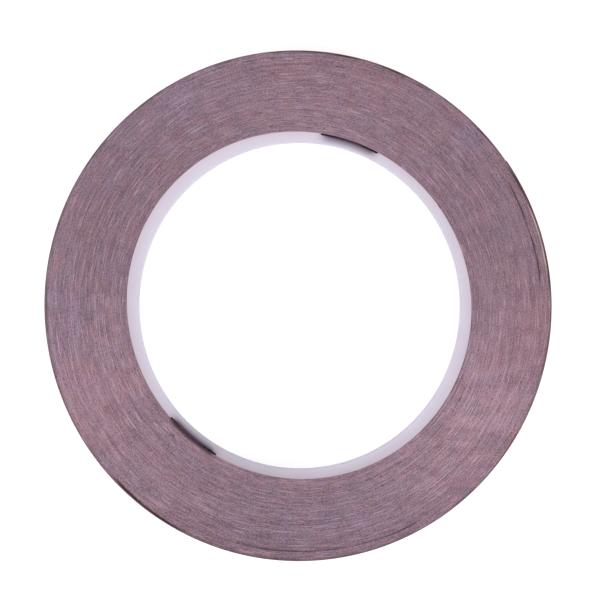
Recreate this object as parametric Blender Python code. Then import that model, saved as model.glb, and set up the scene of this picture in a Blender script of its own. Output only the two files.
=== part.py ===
"""Roll of copper foil tape for stained glass, lying flat: metres, +Z up.

The origin is at the centre of the roll's lower face. A plastic core carries a tight pack of copper foil and
paper liner. The outermost turn and the free end of each strip are pieces of their own. The free end lifts off
the roll on one hinge line across the tape, and its foil peels off its liner on another, nearer the tip.
Angles are in degrees, anticlockwise from +X, seen from above.
"""

import math

import bmesh
import bpy
from mathutils import Vector

MM = 0.001

# Across the face. A real roll is a little out of round: each outline is slightly oval, and the core is a
# little off centre. Each oval and offset is an amount and the direction that it points in.
BORE_RADIUS = 38.1 * MM
BORE_OVAL = (0.29 * MM, 95)
BORE_OFFSET = (0.41 * MM, -6)
CORE_RADIUS = 40.73 * MM
CORE_OVAL = (0.49 * MM, 125)
CORE_OFFSET = (0.31 * MM, 17)
ROLL_RADIUS = 59.85 * MM
ROLL_OVAL = (0.25 * MM, 102)

# Through the roll. The turns don't lie quite level, so the pack is a little wider than the tape.
TAPE_WIDTH = 5.56 * MM
PACK_WIDTH = 5.70 * MM
CORE_WIDTH = 5.50 * MM
CORE_CHAMFER = 0.20 * MM
CORE_GAP = 0.05 * MM

# The tape: copper with its adhesive, and the paper that covers the adhesive.
FOIL_THICKNESS = 0.06 * MM
LINER_THICKNESS = 0.06 * MM
LAYER_GAP = 0.02 * MM
TURN_PITCH = FOIL_THICKNESS + LINER_THICKNESS + 2 * LAYER_GAP

# The free end is the last stretch of the outermost turn, from its hinge line to its tip. Its foil peels back
# as far as a hinge line of its own.
END_ROOT = 10.0
PEEL_ROOT = 15.0
END_TIP = 35.0
END_CLEARANCE = 0.15

# Each notch is a scoop in the core's upper face that ends in a narrow pocket beside the tape.
NOTCH_CENTRES = (72.4, 231.3)
NOTCH_SPAN = 19.8
NOTCH_WALL = 0.3
POCKET_WIDTH = 0.55 * MM
POCKET_DEPTH = 3.6 * MM
SCOOP_DEPTH = 1.5 * MM
SCOOP_EDGE = 0.7 * MM

STEP = 2.5
STATIONS = [STEP * i for i in range(round(360 / STEP))]


def swing(angle, amount, towards, lobes):
    """How far an outline stands out at this angle: one lobe is an offset, two are an oval."""
    return amount * math.cos(math.radians(lobes * (angle - towards)))


def bore_edge(angle):
    return BORE_RADIUS + swing(angle, *BORE_OVAL, 2) + swing(angle, *BORE_OFFSET, 1)


def core_edge(angle):
    return CORE_RADIUS + swing(angle, *CORE_OVAL, 2) + swing(angle, *CORE_OFFSET, 1)


def pack_edge(angle):
    """The pack's outer edge: a spiral that climbs one turn's pitch on its way round from the tip."""
    climbed = (angle - END_TIP - END_CLEARANCE / 2) % 360 / 360
    return ROLL_RADIUS + swing(angle, *ROLL_OVAL, 2) - TURN_PITCH * (1.5 - climbed)


def place(angle, radius, height):
    turn = math.radians(angle)
    return Vector((radius * math.cos(turn), radius * math.sin(turn), height))


def box_section(angle, inner, outer, width):
    """A rectangle across the roll at this angle, centred on the pack's mid-height."""
    low = (PACK_WIDTH - width) / 2
    high = low + width
    corners = [(inner, low), (inner, high), (outer, high), (outer, low)]
    return [place(angle, radius, height) for radius, height in corners]


def make_material(name, colour, metallic, roughness):
    material = bpy.data.materials.new(name)
    material.use_nodes = True
    shader = material.node_tree.nodes["Principled BSDF"]
    shader.inputs["Base Color"].default_value = (*colour, 1)
    shader.inputs["Metallic"].default_value = metallic
    shader.inputs["Roughness"].default_value = roughness
    return material


def loft(name, material, sections, closed, origin=Vector()):
    """One solid through sections with equally many points: a closed ring, or a strip with capped ends."""
    shape = bmesh.new()
    rings = [[shape.verts.new(point - origin) for point in section] for section in sections]
    following = rings[1:] + rings[:1] if closed else rings[1:]
    for ring, after in zip(rings, following):
        for i in range(len(ring)):
            j = (i + 1) % len(ring)
            shape.faces.new((ring[i], ring[j], after[j], after[i]))
    if not closed:
        shape.faces.new(rings[0])
        shape.faces.new(rings[-1])
    bmesh.ops.recalc_face_normals(shape, faces=shape.faces)
    mesh = bpy.data.meshes.new(name)
    shape.to_mesh(mesh)
    shape.free()
    mesh.shade_smooth()
    mesh.set_sharp_from_angle(angle=math.radians(30))
    mesh.materials.append(material)
    piece = bpy.data.objects.new(name, mesh)
    piece.location = origin
    bpy.context.collection.objects.link(piece)
    return piece


def core_section(angle, notched):
    """The core's cross-section as it runs round the bore, up its inner wall first."""
    inner, outer, cut = bore_edge(angle), core_edge(angle), CORE_CHAMFER
    low = (PACK_WIDTH - CORE_WIDTH) / 2
    high = low + CORE_WIDTH
    points = [(inner, low + cut), (inner, high - cut), (inner + cut, high), (inner + SCOOP_EDGE, high)]
    if notched:
        wall = outer - POCKET_WIDTH
        points += [(wall, high - SCOOP_DEPTH), (wall, high - POCKET_DEPTH)]
    else:
        points += [(outer - cut, high), (outer, high - cut)]
    points += [(outer, high - POCKET_DEPTH), (outer, low + cut), (outer - cut, low), (inner + cut, low)]
    return [place(angle, radius, height) for radius, height in points]


def notch_offset(angle):
    """How far an angle is from the middle of the nearest notch."""
    return min(abs((angle - centre + 180) % 360 - 180) for centre in NOTCH_CENTRES)


def make_core(material):
    """Two close sections at each end of a notch give it square ends."""
    half = NOTCH_SPAN / 2
    reaches = (-half, NOTCH_WALL - half, half - NOTCH_WALL, half)
    ends = [centre + reach for centre in NOTCH_CENTRES for reach in reaches]
    clear = [angle for angle in STATIONS if min(abs(angle - end) for end in ends) > NOTCH_WALL]
    sections = []
    for angle in sorted(clear + ends):
        sections.append(core_section(angle, notch_offset(angle) < half - NOTCH_WALL / 2))
    return loft("core", material, sections, closed=True)


def make_pack(material):
    """The turns under the outermost one, whose edge steps down one pitch just past the tape's tip."""
    sections = []
    for angle in sorted(STATIONS + [END_TIP + END_CLEARANCE]):
        sections.append(box_section(angle, core_edge(angle) + CORE_GAP, pack_edge(angle), PACK_WIDTH))
    return loft("wound_tape", material, sections, closed=True)


def make_stretch(name, material, first, last, above_pack, thickness, hinged=False):
    """A stretch of one strip, this far above the pack. Its origin is on its hinge line if it has one."""
    start, stop = first + END_CLEARANCE, last - END_CLEARANCE
    between = [angle + turn for turn in (0, 360) for angle in STATIONS if start < angle + turn < stop]
    sections = []
    for angle in [start, *between, stop]:
        inner = pack_edge(angle) + above_pack
        sections.append(box_section(angle, inner, inner + thickness, TAPE_WIDTH))
    origin = place(first, pack_edge(first) + above_pack + thickness, PACK_WIDTH / 2) if hinged else Vector()
    return loft(name, material, sections, closed=False, origin=origin)


def make_liner(material):
    layer = (LAYER_GAP, LINER_THICKNESS)
    make_stretch("outer_turn_liner", material, END_TIP + END_CLEARANCE, END_ROOT + 360, *layer)
    return make_stretch("liner_end", material, END_ROOT, END_TIP, *layer, hinged=True)


def make_foil(material, liner_end):
    """The foil lies on the liner, and its free end moves with the liner's."""
    layer = (LINER_THICKNESS + 2 * LAYER_GAP, FOIL_THICKNESS)
    make_stretch("outer_turn_foil", material, END_TIP + END_CLEARANCE, END_ROOT + 360, *layer)
    stuck = make_stretch("foil_bend", material, END_ROOT, PEEL_ROOT, *layer, hinged=True)
    peeling = make_stretch("foil_end", material, PEEL_ROOT, END_TIP, *layer, hinged=True)
    for piece in (stuck, peeling):
        piece.parent = liner_end
        piece.location = piece.location - liner_end.location


def main():
    for item in list(bpy.data.objects):
        bpy.data.objects.remove(item, do_unlink=True)
    plastic = make_material("core_plastic", (0.64, 0.58, 0.69), 0, 0.45)
    edges = make_material("tape_edges", (0.28, 0.18, 0.23), 0.3, 0.5)
    paper = make_material("liner_paper", (0.62, 0.55, 0.45), 0, 0.7)
    copper = make_material("copper_foil", (0.80, 0.42, 0.30), 1, 0.3)
    make_core(plastic)
    make_pack(edges)
    make_foil(copper, make_liner(paper))


main()
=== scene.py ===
"""The looks of a roll of copper foil tape: its finished pieces, materials, light and camera.

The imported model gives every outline. This script winds the tape turn by turn between those outlines,
finishes the core, and lays the outermost turn and the free end of the foil and its liner round the rim.
Angles are in degrees, anticlockwise from +X, seen from above. Lengths are in metres, except that the
details of the winding's face are in millimetres.
"""

import math

import bpy
import numpy as np
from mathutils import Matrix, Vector


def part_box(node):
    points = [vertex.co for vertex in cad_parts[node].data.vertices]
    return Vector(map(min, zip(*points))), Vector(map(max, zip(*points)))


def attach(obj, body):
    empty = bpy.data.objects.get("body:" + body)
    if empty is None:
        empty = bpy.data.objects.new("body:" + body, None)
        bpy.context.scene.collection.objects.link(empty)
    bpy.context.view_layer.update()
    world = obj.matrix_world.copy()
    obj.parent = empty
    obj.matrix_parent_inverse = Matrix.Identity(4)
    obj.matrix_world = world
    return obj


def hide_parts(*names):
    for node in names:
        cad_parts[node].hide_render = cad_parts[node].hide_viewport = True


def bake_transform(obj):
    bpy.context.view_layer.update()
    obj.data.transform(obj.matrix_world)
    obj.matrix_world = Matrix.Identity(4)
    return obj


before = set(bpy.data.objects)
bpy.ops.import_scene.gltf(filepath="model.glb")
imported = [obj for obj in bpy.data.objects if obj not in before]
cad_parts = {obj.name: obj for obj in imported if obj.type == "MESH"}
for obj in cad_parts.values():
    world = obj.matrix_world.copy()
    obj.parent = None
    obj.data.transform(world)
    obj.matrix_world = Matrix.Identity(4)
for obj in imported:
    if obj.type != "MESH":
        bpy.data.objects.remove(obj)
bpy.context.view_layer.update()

MM = 0.001

# The free end, as in the CAD model: where it lifts off, where its foil peels off the liner, and its tip.
# The end gap keeps the tip clear of where the outermost turn starts.
END_ROOT = 10.0
PEEL_ROOT = 15.0
END_TIP = 35.0
END_GAP = 0.12

# The length of a strip's bend where it lifts away, which places its second hinge point.
BEND_LENGTH = 2.5 * MM

# The winding's spiral, which starts and steps up at the seam. Its grid has this many columns in a turn.
TURN_PITCH = 0.12 * MM
SEAM = 35.075
COLUMNS = 360
CORE_CLEARANCE = 0.012 * MM
BANDS = ("inner", "middle", "outer")

# The core: the angle between its cross-sections, and the radii of its rounded edges.
CORE_STEP = 0.75
CORE_FILLET = 0.22 * MM
CORE_OUTER_FILLET = 0.08 * MM
# Its notches: each one's centre, and the strength of the shade painted into it. Each is a scoop in the
# upper face, which gets shallower over the fade at both of its ends, and a deep narrow pocket beside the
# tape. The painted shade stays this far off the core's lower face.
NOTCHES = ((72.4, 1.0), (231.3, 1.15))
NOTCH_SPAN = 19.8
NOTCH_WALL = 0.3
NOTCH_SHADE_FADE = 4.0
POCKET_WIDTH = 0.42 * MM
POCKET_DEPTH = 3.6 * MM
POCKET_SHADE_FADE = 0.4 * MM
SCOOP_DEPTH = 1.25 * MM
SCOOP_EDGE = 0.3 * MM
SCOOP_CURVE = 1.5
SCOOP_FADE = 3.0
DARKNESS_FLOOR = 1 * MM
# Its painted light and shade: centre angle, half width, change at the bore, change at the outside.
CORE_LIGHT_AND_SHADE = (
    (115, 42, 0.06, 0.05),
    (190, 20, 0.0, -0.08),
    (231, 9, -0.14, -0.10),
    (249, 27, -0.25, -0.27),
    (292, 24, -0.04, -0.18),
    (340, 15, 0.0, -0.04),
)

# The camera looks straight down from this far above the roll's upper face. Its frame is this wide there,
# and is centred on this point.
CAMERA_HEIGHT = 1.0
FRAME_WIDTH = 141.1 * MM
FRAME_CENTRE = (0.50 * MM, 1.32 * MM)
SENSOR_WIDTH = 36
CLIP_START = 0.05
CLIP_STOP = 20


# ---------------------------------------------------------------- outlines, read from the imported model

def outline(nodes, pick, spiral=False):
    """The inner edge (pick=min) or outer edge (pick=max) of CAD nodes: their radius at any angle.

    A spiral's angles run once round from the seam, and any other outline repeats every turn.
    """
    radii = {}
    start = SEAM if spiral else 0
    for node in nodes:
        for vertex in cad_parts[node].data.vertices:
            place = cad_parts[node].matrix_world @ vertex.co
            angle = (round(math.degrees(math.atan2(place.y, place.x)), 2) - start) % 360 + start
            radius = math.hypot(place.x, place.y)
            radii[angle] = pick(radii.get(angle, radius), radius)
    angles = sorted(radii)
    values = [radii[angle] for angle in angles]
    period = None if spiral else 360
    return lambda angle: np.interp(angle, angles, values, period=period)


BORE_EDGE = outline(["core"], min)
CORE_EDGE = outline(["core"], max)
PACK_INNER = outline(["wound_tape"], min)
PACK_OUTER = outline(["wound_tape"], max, spiral=True)
LAYER_NODES = {
    "liner": ("outer_turn_liner", "liner_end"),
    "foil": ("outer_turn_foil", "foil_bend", "foil_end"),
}
LAYER_INNER = {layer: outline(nodes, min, spiral=True) for layer, nodes in LAYER_NODES.items()}
LAYER_OUTER = {layer: outline(nodes, max, spiral=True) for layer, nodes in LAYER_NODES.items()}
PACK_LOW, PACK_HIGH = (corner.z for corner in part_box("wound_tape"))
CORE_LOW, CORE_HIGH = (corner.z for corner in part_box("core"))
TAPE_LOW, TAPE_HIGH = (corner.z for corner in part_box("outer_turn_foil"))


# ---------------------------------------------------------------- meshes

def new_piece(name, points, faces, material, body, cad_node, sharp=30):
    """A mesh that stands for a CAD node. It rides on a body, if it is given one."""
    mesh = bpy.data.meshes.new(name)
    mesh.from_pydata(points.tolist(), [], faces.tolist())
    mesh.shade_smooth()
    mesh.set_sharp_from_angle(angle=math.radians(sharp))
    mesh.materials.append(material)
    piece = bpy.data.objects.new(name, mesh)
    bpy.context.collection.objects.link(piece)
    if body:
        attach(piece, body)
    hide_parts(cad_node)
    return piece


def paint(piece, **values):
    """Stores numbers or vectors on a piece's points for its material to read."""
    for name, value in values.items():
        vector = value.ndim == 2
        kind = "FLOAT_VECTOR" if vector else "FLOAT"
        attribute = piece.data.attributes.new(name, kind, "POINT")
        attribute.data.foreach_set("vector" if vector else "value", value.astype(np.float32).ravel())


def quads(*corners):
    """Four-sided faces from the numbers of their four corners."""
    return np.stack(corners, axis=-1).reshape(-1, 4)


def polar(angle, radius, height):
    """Points from their angle, radius and height."""
    turn = np.radians(angle)
    return np.stack(np.broadcast_arrays(radius * np.cos(turn), radius * np.sin(turn), height), axis=-1)


def wander(rng, count, length):
    """Smooth noise with a standard deviation of 1: a spline whose knots are this many points apart."""
    knots = rng.standard_normal(int(count / length) + 4)
    at = np.arange(count) / length + 1
    base = at.astype(int)
    t = at - base
    weights = ((1 - t) ** 3, 3 * t**3 - 6 * t**2 + 4, 1 + 3 * t + 3 * t**2 - 3 * t**3, t**3)
    smooth = sum(weight * knots[base + shift] for weight, shift in zip(weights, (-1, 0, 1, 2))) / 6
    return smooth / smooth.std()


def from_angle(angle, centre):
    """How far an angle is past a centre angle, from -180 to 180."""
    return (angle - centre + 180) % 360 - 180


def hill(distance, half_width):
    """1 at no distance, falling towards 0 on both sides."""
    return np.exp(-((distance / half_width) ** 2))


def bump(angle, centre, half_width):
    """1 at the centre angle, falling towards 0 on both sides."""
    return hill(from_angle(angle, centre), half_width)


def ease(share):
    """A ramp from 0 to 1, made smooth at both ends."""
    return share * share * (3 - 2 * share)


def window(angle, start, stop, fade):
    """1 between two angles, falling to 0 over the fade inside each of them."""
    inside = (angle - start) % 360
    return ease(np.clip(np.minimum(inside, stop - start - inside) / fade, 0, 1))


# ---------------------------------------------------------------- the winding

# Details of the winding's face, in degrees and millimetres.

# How far the liner's edge lies below the winding's highest level, how far the foil's edge stands above
# the liner's, and how uneven both are, in long and short waves.
LINER_DROP = 0.045
FOIL_RISE = 0.030
LONG_WAVE = 0.004
SHORT_WAVE = 0.003
# Loose turns leave gaps in the face, with painted shade: start and stop angle, distance in from the rim,
# half width, fall and painted shade. A gap fades in over this angle, drifts by this much, and varies in
# depth by this share.
GAP_FADE = 4
GAP_DRIFT = 0.10
GAP_BREAKS = 0.45
GAPS = (
    (4, 32, 2.35, 0.16, 0.13, 0.85),
    (249, 302, 2.05, 0.17, 0.12, 0.62),
    (362, 384, 0.12, 0.10, 0.05, 0.6),
    (382, 402, 0.42, 0.13, 0.07, 0.95),
    (57, 86, 0.66, 0.13, 0.08, 0.6),
    (57, 98, 0.14, 0.26, 0.05, 0.9),
    (96, 150, 0.05, 0.17, 0.04, 0.35),
    (0, 57, 0.05, 0.17, 0.04, 0.7),
    (222, 245, 0.14, 0.26, 0.10, 1.0),
    (150, 224, 0.06, 0.20, 0.04, 0.3),
    (243, 360, 0.06, 0.20, 0.04, 0.35),
    (249, 259, 5.3, 0.16, 0.08, 0.35),
    (205, 216, 9.5, 0.14, 0.10, 0.3),
)
# Shadow beside the core: start and stop angle, width, darkness.
SHADOW_FADE = 3
INNER_SHADOWS = (
    (241, 345, 0.06, 0.8),
    (110, 222, 0.06, 0.45),
    (220.5, 242, 0.55, 1.0),
)
# Small nicks, whose shade is painted dark: angle, distance in from the rim, half width in degrees, half
# depth, darkness.
NICKS = (
    (226.2, 17.2, 0.5, 0.22, 0.9),
    (45.0, 9.0, 0.5, 0.2, 0.35),
    (141.0, 5.0, 0.6, 0.2, 0.35),
    (301.0, 2.9, 0.9, 0.35, 0.4),
)
# One turn stands a little proud, with a painted highlight along it: start and stop angle, distance in
# from the rim, half width.
PROUD_TURN = (365, 386, 0.38, 0.11)
PROUD_FADE = 6
PROUD_RISE = 0.02
PROUD_BREAKS = 0.5
# Where the face is tarnished, or barer where the amount is below 0: centre angle, half width in degrees,
# distance in from the rim, half depth, amount.
PATCHES = (
    (125, 20, 3, 7, 0.9),
    (182, 10, 4, 8, 0.9),
    (275, 20, 9, 8, 1.0),
    (44, 5, 3.5, 3, 1.2),
    (203, 14, 6, 9, -0.8),
    (350, 14, 3, 8, -1.0),
    (75, 22, 3, 6, -0.4),
    (325, 22, 9, 8, -0.3),
)
# Painted light and shade on the face: the same five values.
SHADES = (
    (331, 24, 14, 12, 0.13),
    (200, 18, 4, 7, 0.06),
    (258, 28, 2, 5, -0.075),
    (285, 25, 15, 7, 0.035),
    (94, 22, 15, 6, 0.05),
    (117, 13, 3, 5, 0.055),
    (42, 3, 3.7, 1.8, 0.07),
    (170, 9, 3, 5, 0.05),
    (168, 12, 14, 6, -0.035),
    (15, 14, 4, 8, -0.035),
    (150, 14, 4, 6, -0.02),
)
# Where fans of painted highlight, streaked lighter and darker, cross the face: centre angle, half width,
# strength. They lean by this angle for each millimetre outwards.
SHEEN_FANS = ((325, 30, 1.0), (205, 25, 0.5), (90, 40, 0.25))
FAN_LEAN = 0.74
# The far face is as uneven as the near one, but turned on by this many columns.
FAR_FACE_TURN = 97


def marks(angle, rim, places):
    """The sum of soft marks on the face, each at its angle and its distance in from the rim."""
    total = np.zeros_like(rim)
    for centre, half_width, inward, half, amount in places:
        total = total + amount * bump(angle, centre, half_width) * hill(rim - inward, half)
    return total


def winding_field():
    """The spiral's grid, two rows a turn: each column's angle, each point's radius and surface values."""
    rng = np.random.default_rng(7)
    climbed = np.arange(COLUMNS) / COLUMNS
    angle = SEAM + 360 * climbed
    inner = PACK_INNER(angle)
    thickness = PACK_OUTER(angle) - inner - climbed * (PACK_OUTER(SEAM + 360) - PACK_OUTER(SEAM))
    turns = round(float(np.mean(thickness)) / TURN_PITCH)
    row = np.arange(2 * turns + 3)[:, None]
    radius = inner + thickness * (row / 2 + climbed) / turns
    radius[0] = CORE_EDGE(angle) + CORE_CLEARANCE
    foil = (row + 0 * climbed) % 2

    def along_tape(length):
        """Noise that runs on from turn to turn, because the tape does, for each of its two layers."""
        count = (turns + 2) * COLUMNS
        layers = [wander(rng, count, length).reshape(turns + 2, COLUMNS) for _ in range(2)]
        return np.stack(layers, axis=1).reshape(-1, COLUMNS)[: 2 * turns + 3]

    slow, quick = along_tape(length=30), along_tape(length=3)
    rim = (inner + thickness * (1 + climbed / turns) - radius) / MM
    depth = (radius - inner) / MM
    drop = LINER_DROP - FOIL_RISE * foil + LONG_WAVE * slow + SHORT_WAVE * quick
    gap_shading = np.zeros_like(radius)
    for start, stop, inward, half, fall, darkness in GAPS:
        drift = GAP_DRIFT * wander(rng, COLUMNS, length=9)
        breaks = np.clip(1 + GAP_BREAKS * wander(rng, COLUMNS, length=3), 0, 1.3)
        shape = window(angle, start, stop, GAP_FADE) * breaks * hill(rim - inward - drift, half)
        drop = drop + fall * shape
        gap_shading = np.maximum(gap_shading, darkness * shape)
    for start, stop, width, darkness in INNER_SHADOWS:
        gap_shading = np.maximum(gap_shading, darkness * window(angle, start, stop, SHADOW_FADE) * hill(depth, width))
    for centre, inward, half_width, half, darkness in NICKS:
        gap_shading = np.maximum(gap_shading, darkness * bump(angle, centre, half_width) * hill(rim - inward, half))
    start, stop, inward, half = PROUD_TURN
    painted_highlight = window(angle, start, stop, PROUD_FADE) * hill(rim - inward, half)
    painted_highlight = painted_highlight * np.clip(1 + PROUD_BREAKS * wander(rng, COLUMNS, length=4), 0, 1.5)
    drop = drop - PROUD_RISE * painted_highlight
    return {
        "turns": turns,
        "angle": angle,
        "radius": radius,
        "depth": depth,
        "rim": rim,
        "drop": np.clip(drop, 0, None) * MM,
        "foil": foil,
        "tone": 0.8 * slow + 0.6 * quick,
        "gap_shading": np.clip(gap_shading, 0, 1),
        "painted_highlight": np.clip(painted_highlight, 0, 1),
        "tarnish": marks(angle, rim, PATCHES),
        "shade": marks(angle, rim, SHADES),
        "fan_sheen": sum(amount * bump(angle, centre, half) for centre, half, amount in SHEEN_FANS),
    }


def make_band(name, field, first, last, material):
    """A closed band of turns: its upper and lower faces, and the spiral walls inside and outside it."""
    angle, radius, drop = field["angle"], field["radius"], field["drop"]
    rows = last - first + 1
    sheets = []
    for side in (1, -1):
        height = PACK_HIGH - drop if side > 0 else PACK_LOW + np.roll(drop, FAR_FACE_TURN, axis=1)
        grid = polar(angle, radius, height)[first:last + 3]
        sheets.append(np.concatenate([grid[:rows].reshape(-1, 3), grid[rows:rows + 2, 0]]))
    points = np.concatenate(sheets)
    half = len(sheets[0])

    def at(row, column):
        """A point's number. A row that has gone all the way round goes on as the row two further out."""
        row, column = np.broadcast_arrays(row, column)
        wrapped = column == COLUMNS
        row, column = row + 2 * wrapped, column * ~wrapped
        return np.where(row < rows, row * COLUMNS + column, rows * COLUMNS + row - rows)

    row, column = np.meshgrid(np.arange(rows - 1), np.arange(COLUMNS), indexing="ij")
    corners = [at(row, column), at(row + 1, column), at(row + 1, column + 1), at(row, column + 1)]
    upper = quads(*corners)
    column = np.arange(COLUMNS + 1)
    inner_edge = np.concatenate([at(0, column), at(np.array([1, 0]), 0)])
    outer_edge = np.concatenate([at(rows - 1, column), at(np.array([rows, rows - 1]), 0)])

    def wall(first_ends, second_ends):
        """Faces that join the upper sheet's edge to the lower one's."""
        return quads(first_ends, second_ends, second_ends + half, first_ends + half)

    faces = [upper, upper[:, ::-1] + half]
    faces.append(wall(inner_edge[:-1], inner_edge[1:]))
    faces.append(wall(outer_edge[1:], outer_edge[:-1]))
    faces = np.concatenate(faces)
    piece = new_piece(name, points, faces, material, "roll", "wound_tape", sharp=20)

    def per_point(values):
        """The grid's values, in the order of the piece's points."""
        grid = np.broadcast_to(values, radius.shape)[first:last + 3]
        sheet = np.concatenate([grid[:rows].ravel(), grid[rows:rows + 2, 0]])
        return np.concatenate([sheet, sheet])

    def direction(angle):
        """The direction of an angle, and the depth, for noise that has no seam."""
        turn = np.radians(angle)
        parts = (np.cos(turn), np.sin(turn), field["depth"])
        return np.stack([per_point(part) for part in parts], axis=-1)

    names = ("foil", "tone", "gap_shading", "painted_highlight", "tarnish", "rim", "fan_sheen", "shade")
    values = {name: per_point(field[name]) for name in names}
    paint(piece, along=direction(angle), fan=direction(angle - FAN_LEAN * field["depth"]), **values)


def make_winding(material):
    """The winding's turns, shared out over its bands."""
    field = winding_field()
    per_band = 2 * math.ceil(field["turns"] / len(BANDS))
    for i, name in enumerate(BANDS):
        first = i * per_band
        last = min(first + per_band, 2 * field["turns"])
        make_band(f"{name}_turns", field, first, last, material)


# ---------------------------------------------------------------- the core

def arc(centre_r, centre_z, radius, start, stop, count=6):
    """Points along a fillet in the core's cross-section."""
    turns = np.radians(np.linspace(start, stop, count))
    return [(centre_r + radius * math.cos(turn), centre_z + radius * math.sin(turn)) for turn in turns]


def core_sections(inner, outer, scooped):
    """The plain cross-section and the notched one, from the bore's lower edge upwards.

    Each stretch has as many points in one as in the other, so that the two can be mixed.
    """
    cut, edge, low, high = CORE_FILLET, CORE_OUTER_FILLET, CORE_LOW, CORE_HIGH
    wall = outer - POCKET_WIDTH
    floor = high - POCKET_DEPTH
    lip = high - SCOOP_DEPTH * scooped
    shared_start = arc(inner + cut, low + cut, cut, 270, 180)
    shared_start += [(inner, z) for z in np.linspace(low + cut, high - cut, 8)[1:-1]]
    shared_start += arc(inner + cut, high - cut, cut, 180, 90)
    steps = np.linspace(0, 1, 16)[1:]
    start = inner + max(SCOOP_EDGE, cut)
    plain = [(start + (outer - edge - start) * t, high) for t in steps[:-1]]
    notched = [(start + (wall - start) * t, high + (lip - high) * t**SCOOP_CURVE) for t in steps[:-1]]
    plain += arc(outer - edge, high - edge, edge, 90, 0)
    notched += [(wall, z) for z in np.linspace(lip, floor, 7)[:-1]]
    plain += [(outer, z) for z in np.linspace(high - edge, floor, 8)[1:-1]]
    notched += [(r, floor) for r in np.linspace(wall, outer, 7)[:-1]]
    shared_end = [(outer, z) for z in np.linspace(floor, low + edge, 6)[:-1]]
    shared_end += arc(outer - edge, low + edge, edge, 0, -90)
    shared_end += [(r, low) for r in np.linspace(outer - edge, inner + cut, 5)[1:-1]]
    return (np.array(shared_start + middle + shared_end) for middle in (plain, notched))


def make_core(material):
    """The core as a ring of cross-sections, closer together at the ends of the notches."""
    half = NOTCH_SPAN / 2
    angles = set(np.arange(0, 360, CORE_STEP))
    for centre, _ in NOTCHES:
        for side in (-1, 1):
            angles.update(centre + side * (half + NOTCH_WALL * t) for t in np.linspace(-1, 1, 9))
    angles = np.array(sorted(angles))
    each_away = [abs(from_angle(angles, centre)) for centre, _ in NOTCHES]
    away = np.min(each_away, axis=0)
    darkness = np.choose(np.argmin(each_away, axis=0), [amount for _, amount in NOTCHES])
    notched_share = ease(np.clip((half + NOTCH_WALL / 2 - away) / NOTCH_WALL, 0, 1))
    scooped = ease(np.clip((half - away) / SCOOP_FADE, 0, 1))
    rings = []
    for angle, cut, scoop in zip(angles, notched_share, scooped):
        plain, notched = core_sections(float(BORE_EDGE(angle)), float(CORE_EDGE(angle)), scoop)
        section = plain + (notched - plain) * cut
        rings.append(polar(angle, section[:, 0], section[:, 1]))
    points = np.array(rings)
    columns, rows = points.shape[:2]
    column, row = np.meshgrid(np.arange(columns), np.arange(rows), indexing="ij")
    above = (row + 1) % rows
    here, following = column * rows, (column + 1) % columns * rows
    faces = quads(here + row, here + above, following + above, following + row)
    piece = new_piece("core_ring", points.reshape(-1, 3), faces, material, "roll", "core")

    radius = np.hypot(points[..., 0], points[..., 1])
    inner, outer = BORE_EDGE(angles)[:, None], CORE_EDGE(angles)[:, None]
    across = (radius - inner) / (outer - inner)
    # Painted shade in each notch, strongest beside the tape and fading past the notch's ends.
    shadow = ease(np.clip((half + NOTCH_SHADE_FADE / 2 - away[:, None]) / NOTCH_SHADE_FADE, 0, 1))
    notch = (darkness[:, None] * shadow * across).clip(0, 1)
    upper = points[..., 2] > CORE_LOW + DARKNESS_FLOOR
    # The pocket's inside below the lip, which gets painted shade.
    below_lip = (CORE_HIGH - SCOOP_DEPTH * scooped[:, None] - points[..., 2]) / POCKET_SHADE_FADE
    slack = 0.01 * MM
    in_pocket = (radius > outer - POCKET_WIDTH - slack) * (away < half)[:, None]
    pocket = np.clip(below_lip, 0, 1) * in_pocket
    # Painted light and shade round the ring.
    shade = np.ones_like(across)
    for centre, half_width, within, without in CORE_LIGHT_AND_SHADE:
        shade += (within + (without - within) * across) * bump(angles, centre, half_width)[:, None]
    turn = np.radians(angles)[:, None] + 0 * radius
    along = np.stack([np.cos(turn), np.sin(turn), radius / MM], axis=-1)
    paint(piece, across=across.ravel(), notch=(notch * upper).ravel(), along=along.reshape(-1, 3),
          shade=shade.ravel(), pocket=(pocket * upper).ravel())


# ---------------------------------------------------------------- the outermost turn and the free end

STRIP_ROWS = 13
STRIP_STEP = 0.5
# The dents are a sum of waves, raised by this many wave heights to stay clear of the turns below.
DENT_WAVES = 14
DENT_HEIGHT = 0.0016 * MM
DENT_RISE = 4


def dents(angle, across):
    """How far the thin strip stands off the turns below it. Its two layers are dented alike.

    Each wave has its own length, slant, phase and height.
    """
    rng = np.random.default_rng(11)
    rise = np.zeros((len(angle), len(across)))
    for _ in range(DENT_WAVES):
        wave, tilt, phase = rng.uniform(0.3, 3.2), rng.uniform(-5, 5), rng.uniform(0, 6.28)
        rise += rng.uniform(0.2, 1) * np.sin(wave * angle[:, None] + tilt * across[None, :] + phase)
    return DENT_HEIGHT * (rise + DENT_RISE)


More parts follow.
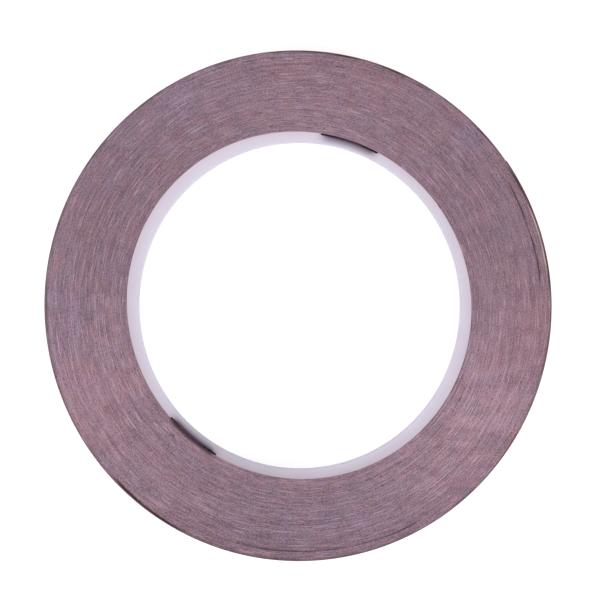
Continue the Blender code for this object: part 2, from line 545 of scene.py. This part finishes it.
def make_strip(name, layer, start, stop, material, body, cad_node):
    """A thin closed stretch of one of the outermost turn's two layers."""
    count = max(8, round((stop - start) / STRIP_STEP)) + 1
    angle = np.linspace(start, stop, count)
    across = np.linspace(0, 1, STRIP_ROWS)
    rise = dents(angle, across)
    height = TAPE_LOW + (TAPE_HIGH - TAPE_LOW) * across[None, :] + 0 * rise
    inside = polar(angle[:, None], LAYER_INNER[layer](angle)[:, None] + rise, height)
    outside = polar(angle[:, None], LAYER_OUTER[layer](angle)[:, None] + rise, height)
    ring = np.concatenate([inside, outside[:, ::-1]], axis=1)
    rows = ring.shape[1]
    column, row = np.meshgrid(np.arange(count - 1), np.arange(rows), indexing="ij")
    above = (row + 1) % rows
    here, following = column * rows, (column + 1) * rows
    faces = quads(here + row, here + above, following + above, following + row)
    i = np.arange(STRIP_ROWS - 1)
    cap = quads(i, rows - 1 - i, rows - 2 - i, i + 1)
    faces = np.concatenate([faces, cap[:, ::-1], cap + (count - 1) * rows])
    piece = new_piece(name, ring.reshape(-1, 3), faces, material, body, cad_node)

    turn = np.radians(angle)[:, None] + np.zeros((1, rows))
    level = np.concatenate([across, across[::-1]])[None, :] + 0 * turn
    along = np.stack([np.cos(turn), np.sin(turn), level], axis=-1)
    outward = np.concatenate([np.zeros(STRIP_ROWS), np.ones(STRIP_ROWS)])[None, :] + 0 * turn
    paint(piece, along=along.reshape(-1, 3), outward=outward.ravel())
    return piece


# ---------------------------------------------------------------- materials

EDGE_DARK = (0.094, 0.038, 0.055)
EDGE_LIGHT = (0.492, 0.334, 0.392)
EDGE_BARE = (1.06, 0.97, 0.96)
EDGE_TARNISHED = (0.95, 1.00, 1.08)
EDGE_GREEN = (0.97, 1.035, 0.98)
EDGE_MAUVE = (1.03, 0.965, 1.02)
EDGE_HIGHLIGHT = (0.82, 0.62, 0.54)
COPPER_DEEP = (0.76, 0.38, 0.25)
COPPER_PALE = (0.90, 0.54, 0.41)
COPPER_LINE = (0.45, 0.19, 0.12)
COPPER_GLUED = (0.50, 0.30, 0.24)
LINER_EDGE = (0.26, 0.20, 0.25)
LINER_WALL = (0.34, 0.22, 0.28)
PAPER_DARK = (0.62, 0.55, 0.46)
PAPER_LIGHT = (0.76, 0.70, 0.62)
PAPER_STAINED = (0.66, 0.56, 0.45)
PAPER_EDGE_SHADE = (0.12, 0.08, 0.09)
GAP_SHADE_COLOUR = (0.055, 0.022, 0.028)
FOIL_EDGE_SHADE = (0.10, 0.048, 0.053)
CORE_INNER = (0.590, 0.543, 0.637)
CORE_OUTER = (0.543, 0.463, 0.538)
NOTCH_SHADE_GREY = (0.156, 0.132, 0.195)
POCKET_SHADE_COLOUR = (0.46, 0.30, 0.45)


class Nodes:
    """A short way to write a material's nodes."""

    def __init__(self, name):
        self.material = bpy.data.materials.new(name)
        self.material.use_nodes = True
        self.tree = self.material.node_tree
        self.shader = self.tree.nodes["Principled BSDF"]

    def add(self, kind, **settings):
        """A new node with these settings."""
        node = self.tree.nodes.new(f"ShaderNode{kind}")
        for key, value in settings.items():
            setattr(node, key, value)
        return node

    def link(self, source, target):
        """Feeds a number, a colour or another node's output into a socket."""
        if isinstance(source, (int, float)):
            target.default_value = source
        elif isinstance(source, tuple):
            target.default_value = source if len(source) == len(target.default_value) else (*source, 1)
        else:
            self.tree.links.new(source, target)

    def attribute(self, name, output="Fac"):
        """What is painted on the piece's points under this name."""
        return self.add("Attribute", attribute_name=name).outputs[output]

    def math(self, operation, *values):
        node = self.add("Math", operation=operation)
        for value, socket in zip(values, node.inputs):
            self.link(value, socket)
        return node.outputs[0]

    def spread(self, value, low, high, new_low, new_high):
        """Maps a value's range to a new one, clamped."""
        node = self.add("MapRange")
        for source, socket in zip((value, low, high, new_low, new_high), node.inputs):
            self.link(source, socket)
        return node.outputs[0]

    def mix(self, share, first, second, blend="MIX"):
        """A mix of two colours, the node's inputs 6 and 7. Those before them mix numbers and vectors."""
        node = self.add("Mix", data_type="RGBA", blend_type=blend)
        for source, socket in ((share, 0), (first, 6), (second, 7)):
            self.link(source, node.inputs[socket])
        return node.outputs[2]

    def noise(self, vector, scale, detail=2.0, roughness=0.5):
        """Noise of a vector, with a scale for each axis, shifted off the planes where noise is flat."""
        stretch = self.add("VectorMath", operation="MULTIPLY_ADD")
        self.link(vector, stretch.inputs[0])
        stretch.inputs[1].default_value = scale
        stretch.inputs[2].default_value = (0.25, 0.25, 0.25)
        node = self.add("TexNoise")
        node.inputs["Scale"].default_value = 1
        node.inputs["Detail"].default_value = detail
        node.inputs["Roughness"].default_value = roughness
        self.link(stretch.outputs[0], node.inputs["Vector"])
        return node.outputs["Fac"]

    def total(self, first, *others):
        """The sum of several values."""
        for other in others:
            first = self.math("ADD", first, other)
        return first

    def tinted(self, colour, share, first, second):
        """A colour times a mix of two tints."""
        return self.mix(1.0, colour, self.mix(share, first, second), "MULTIPLY")

    def grey(self, value):
        """A grey of this brightness."""
        node = self.add("CombineColor")
        for socket in node.inputs:
            self.link(value, socket)
        return node.outputs[0]

    def slit_edge(self):
        """1 on faces that look straight up or down."""
        split = self.add("SeparateXYZ")
        self.link(self.add("TexCoord").outputs["Normal"], split.inputs[0])
        return self.spread(self.math("ABSOLUTE", split.outputs[2]), 0.25, 0.45, 0, 1)

    def side_wall(self):
        """1 on faces that stand upright."""
        return self.math("SUBTRACT", 1.0, self.slit_edge())

    def leaning(self, along, amount):
        """The surface's normal, leaning away from the roll's axis, as slitting leaves each turn."""
        flat = self.add("VectorMath", operation="MULTIPLY")
        self.link(along, flat.inputs[0])
        flat.inputs[1].default_value = (1, 1, 0)
        lean = self.add("VectorMath", operation="SCALE")
        self.link(flat.outputs[0], lean.inputs[0])
        self.link(amount, lean.inputs["Scale"])
        both = self.add("VectorMath", operation="ADD")
        self.link(self.add("NewGeometry").outputs["Normal"], both.inputs[0])
        self.link(lean.outputs[0], both.inputs[1])
        unit = self.add("VectorMath", operation="NORMALIZE")
        self.link(both.outputs[0], unit.inputs[0])
        return unit.outputs[0]

    def bump(self, height, strength, distance):
        """A normal for a surface with this relief."""
        node = self.add("Bump")
        node.inputs["Strength"].default_value = strength
        node.inputs["Distance"].default_value = distance
        self.link(height, node.inputs["Height"])
        return node.outputs[0]

    def finish(self, colour, roughness, metallic=0.0, normal=None, **constants):
        """Sets the shader's sockets. An anisotropic material takes its grain from the turns."""
        inputs = self.shader.inputs
        self.link(colour, inputs["Base Color"])
        self.link(roughness, inputs["Roughness"])
        self.link(metallic, inputs["Metallic"])
        if normal:
            self.link(normal, inputs["Normal"])
        if "Anisotropic" in constants:
            tangent = self.add("Tangent", direction_type="RADIAL", axis="Z")
            self.link(tangent.outputs[0], inputs["Tangent"])
        for name, value in constants.items():
            inputs[name.replace("_", " ")].default_value = value
        return self.material


def winding_material():
    """Slit edges of copper and paper: fine streaks along each turn, tarnish, and painted light and shade.

    Streaks, dashes, specks and bright hairs, which are painted glints, run along the turns. Clouds are
    broad.
    Fans of painted highlight cross the turns. The shade of the gaps and a proud turn's highlight are
    painted.
    """
    n = Nodes("wound_edges")
    along = n.attribute("along", "Vector")
    foil, tone = n.attribute("foil"), n.attribute("tone")
    streak = n.noise(along, (7, 7, 2.6), 1)
    dash = n.noise(along, (34, 34, 3.6), 1)
    speck = n.noise(along, (150, 150, 4.2), 1)
    glint = n.noise(along, (12, 12, 7), 0)
    cloud = n.noise(along, (14, 14, 0.3), 2)
    fan = n.noise(n.attribute("fan", "Vector"), (16, 16, 0.12), 1)
    # The gain holds painted light and shade: glints, the fans' highlights and lighter and darker parts.
    gain = n.total(
        n.spread(streak, 0.2, 0.8, 0.44, 0.56),
        n.spread(dash, 0.2, 0.8, -0.11, 0.11),
        n.spread(speck, 0.2, 0.8, -0.4, 0.4),
        n.spread(glint, 0.62, 0.74, -0.02, 0.5),
        n.spread(cloud, 0.3, 0.7, -0.05, 0.05),
        n.math("MULTIPLY", tone, 0.1),
        n.attribute("shade"),
        n.math("MULTIPLY", n.attribute("fan_sheen"), n.spread(fan, 0.3, 0.7, -0.12, 0.12)),
    )
    colour = n.mix(gain, EDGE_DARK, EDGE_LIGHT)
    colour = n.mix(n.spread(foil, 0, 1, 0.3, 0), colour, LINER_EDGE)
    mottle = n.noise(along, (13, 13, 0.28), 3)
    tarnish = n.math("ADD", n.attribute("tarnish"), n.spread(mottle, 0.3, 0.7, -0.9, 0.9))
    colour = n.tinted(colour, n.spread(tarnish, -1.2, 1.2, 0, 1), EDGE_BARE, EDGE_TARNISHED)
    tint = n.noise(along, (26, 26, 0.8), 2)
    colour = n.tinted(colour, n.spread(tint, 0.3, 0.7, 0, 1), EDGE_GREEN, EDGE_MAUVE)
    # Painted shade in the gaps, beside the core and in the nicks.
    colour = n.mix(n.attribute("gap_shading"), colour, GAP_SHADE_COLOUR)
    # The proud turn's painted highlight.
    colour = n.mix(n.attribute("painted_highlight"), colour, EDGE_HIGHLIGHT)
    wall = n.side_wall()
    outermost = n.spread(n.attribute("rim"), 0.5, 1, 1, 0)
    bright_wall = n.math("MULTIPLY", wall, outermost)
    copper = n.mix(mottle, COPPER_DEEP, COPPER_PALE)
    colour = n.mix(wall, colour, n.mix(outermost, LINER_WALL, copper))
    polish = n.math("MULTIPLY", bright_wall, 0.18)
    roughness = n.math("SUBTRACT", n.spread(dash, 0.25, 0.75, 0.42, 0.56), polish)
    metallic = n.math("MAXIMUM", n.spread(foil, 0, 1, 0.4, 0.85), bright_wall)
    lean = n.spread(speck, 0.25, 0.75, 0.12, 0.36)
    return n.finish(colour, roughness, metallic, n.leaning(along, lean), Anisotropic=0.5)


def copper_material():
    """Bright rolled foil with lines along the tape, dents and finger marks. Its inside is glued.
    Its slit edges are painted dark, as the shade along the rim.
    """
    n = Nodes("copper_foil_bright")
    along = n.attribute("along", "Vector")
    lines = n.noise(along, (3, 3, 60), 3)
    cloud = n.noise(along, (7, 7, 2.5), 3)
    dent = n.noise(along, (45, 45, 4), 2)
    colour = n.mix(n.spread(cloud, 0.3, 0.7, 0, 1), COPPER_DEEP, COPPER_PALE)
    colour = n.mix(n.spread(lines, 0.35, 0.6, 0.45, 0), colour, COPPER_LINE)
    glue = n.math("SUBTRACT", 1.0, n.attribute("outward"))
    colour = n.mix(n.math("MULTIPLY", glue, 0.7), colour, COPPER_GLUED)
    edge = n.slit_edge()
    # Painted shade on the slit edges, for the dark line along the rim.
    colour = n.mix(edge, colour, FOIL_EDGE_SHADE)
    smear = n.spread(cloud, 0.35, 0.65, 0.20, 0.36)
    roughness = n.total(
        smear,
        n.spread(lines, 0.3, 0.7, 0, 0.08),
        n.math("MULTIPLY", glue, 0.15),
        n.math("MULTIPLY", edge, 0.25),
    )
    height = n.math("ADD", lines, n.spread(dent, 0, 1, 0, 3.0))
    return n.finish(colour, roughness, n.spread(edge, 0, 1, 1, 0.4), n.bump(height, 0.4, 0.02 * MM))


def paper_material():
    """Kraft-like release paper, with fibres and a slit edge painted dark as shade."""
    n = Nodes("release_paper")
    along = n.attribute("along", "Vector")
    fibres = n.noise(along, (60, 60, 14), 4)
    cloud = n.noise(along, (9, 9, 1.5), 2)
    colour = n.mix(fibres, PAPER_DARK, PAPER_LIGHT)
    colour = n.mix(n.spread(cloud, 0.3, 0.7, 0, 0.3), colour, PAPER_STAINED)
    # Painted shade on the slit edge.
    colour = n.mix(n.slit_edge(), colour, PAPER_EDGE_SHADE)
    roughness = n.spread(fibres, 0.3, 0.7, 0.55, 0.75)
    return n.finish(colour, roughness, normal=n.bump(fibres, 0.2, 0.01 * MM))


def core_material():
    """White plastic with a lavender cast and faint moulding marks.
    Light and shade are painted round the ring, and shade is painted in and beside the notches.
    """
    n = Nodes("core_plastic_white")
    along = n.attribute("along", "Vector")
    colour = n.mix(n.attribute("across"), CORE_INNER, CORE_OUTER)
    cloud = n.noise(along, (6, 6, 0.4), 2)
    swirl = n.noise(along, (4, 4, 5), 2)
    gain = n.total(
        n.attribute("shade"),
        n.spread(cloud, 0.3, 0.7, -0.02, 0.02),
        n.spread(swirl, 0.3, 0.7, -0.015, 0.015),
    )
    colour = n.mix(1.0, colour, n.grey(gain), "MULTIPLY")
    # Painted shade in and beside the notches.
    colour = n.mix(n.spread(n.attribute("notch"), 0, 1, 0, 0.84), colour, NOTCH_SHADE_GREY)
    # Painted shade inside the pockets.
    colour = n.mix(n.attribute("pocket"), colour, POCKET_SHADE_COLOUR)
    grain = n.noise(along, (200, 200, 3), 2)
    roughness = n.spread(swirl, 0.3, 0.7, 0.40, 0.50)
    return n.finish(colour, roughness, normal=n.bump(grain, 0.1, 0.01 * MM))


# ---------------------------------------------------------------- floor, light and camera

FLOOR_REACH = 3.0
FLOOR_GREY = (0.4, 0.4, 0.4)
FLOOR_GLOW = 0.72


def make_stage():
    """A floor that glows, so that it looks white."""
    mesh = bpy.data.meshes.new("floor")
    corners = [(x * FLOOR_REACH, y * FLOOR_REACH, 0) for x, y in ((-1, -1), (1, -1), (1, 1), (-1, 1))]
    mesh.from_pydata(corners, [], [(0, 1, 2, 3)])
    floor = bpy.data.objects.new("floor", mesh)
    bpy.context.collection.objects.link(floor)
    n = Nodes("floor_white")
    n.finish(FLOOR_GREY, roughness=0.9, Emission_Color=(1, 1, 1, 1), Emission_Strength=FLOOR_GLOW)
    mesh.materials.append(n.material)


SKY_COLOUR = (0.97, 0.98, 1, 1)
SKY_STRENGTH = 0.66
LIGHT_DISTANCE = 1.9
LIGHT_SIZE = 0.7
# The round lamps: name, azimuth, elevation, power in watts.
LIGHTS = (
    ("left_light", 202, 42, 12),
    ("right_light", 328, 40, 14),
    ("back_light", 88, 50, 4),
)


def area_light(name, place, power):
    """A round lamp that faces the roll."""
    data = bpy.data.lights.new(name, "AREA")
    data.shape = "DISK"
    data.size = LIGHT_SIZE
    data.energy = power
    light = bpy.data.objects.new(name, data)
    light.location = place
    light.rotation_euler = (-Vector(place)).to_track_quat("-Z", "Y").to_euler()
    light.visible_camera = False
    bpy.context.collection.objects.link(light)


def make_light():
    """An even sky and three lamps."""
    world = bpy.data.worlds.new("studio")
    bpy.context.scene.world = world
    world.use_nodes = True
    sky = world.node_tree.nodes["Background"].inputs
    sky["Color"].default_value = SKY_COLOUR
    sky["Strength"].default_value = SKY_STRENGTH
    for name, azimuth, elevation, power in LIGHTS:
        rise = math.radians(elevation)
        area_light(name, polar(azimuth, math.cos(rise), math.sin(rise)) * LIGHT_DISTANCE, power)


def make_camera():
    """A camera straight above the roll."""
    scene = bpy.context.scene
    data = bpy.data.cameras.new("camera")
    data.sensor_width = SENSOR_WIDTH
    data.lens = SENSOR_WIDTH * CAMERA_HEIGHT / FRAME_WIDTH
    data.clip_start = CLIP_START
    data.clip_end = CLIP_STOP
    camera = bpy.data.objects.new("camera", data)
    camera.location = (*FRAME_CENTRE, PACK_HIGH + CAMERA_HEIGHT)
    bpy.context.collection.objects.link(camera)
    scene.camera = camera
    scene.view_settings.view_transform = "Standard"


# ---------------------------------------------------------------- the whole scene

make_camera()
make_light()
make_stage()

make_winding(winding_material())
make_core(core_material())

copper, paper = copper_material(), paper_material()


def hinge_points(angle, layer):
    """Where a strip starts to bend away at this angle, and where it has finished."""
    start = Vector(polar(angle, float(LAYER_OUTER[layer](angle)), (TAPE_LOW + TAPE_HIGH) / 2))
    turn = math.radians(angle)
    return start, start + BEND_LENGTH * Vector((-math.sin(turn), math.cos(turn), 0))


root, peel, tip = END_ROOT + 360, PEEL_ROOT + 360, END_TIP + 360
for layer, material in (("liner", paper), ("foil", copper)):
    make_strip(f"{layer}_turn", layer, END_TIP + END_GAP, root, material, "roll", f"outer_turn_{layer}")

liner_tail = make_strip("liner_tail", "liner", root, tip - END_GAP, paper, None, "liner_end")
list(hinge_points(root, "liner"))
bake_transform(liner_tail)
foil_root = make_strip("foil_root", "foil", root, peel, copper, None, "foil_bend")
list(hinge_points(root, "foil"))
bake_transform(foil_root)
foil_tail = make_strip("foil_tail", "foil", peel, tip - END_GAP, copper, None, "foil_end")
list(hinge_points(peel, "foil"))
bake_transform(foil_tail)
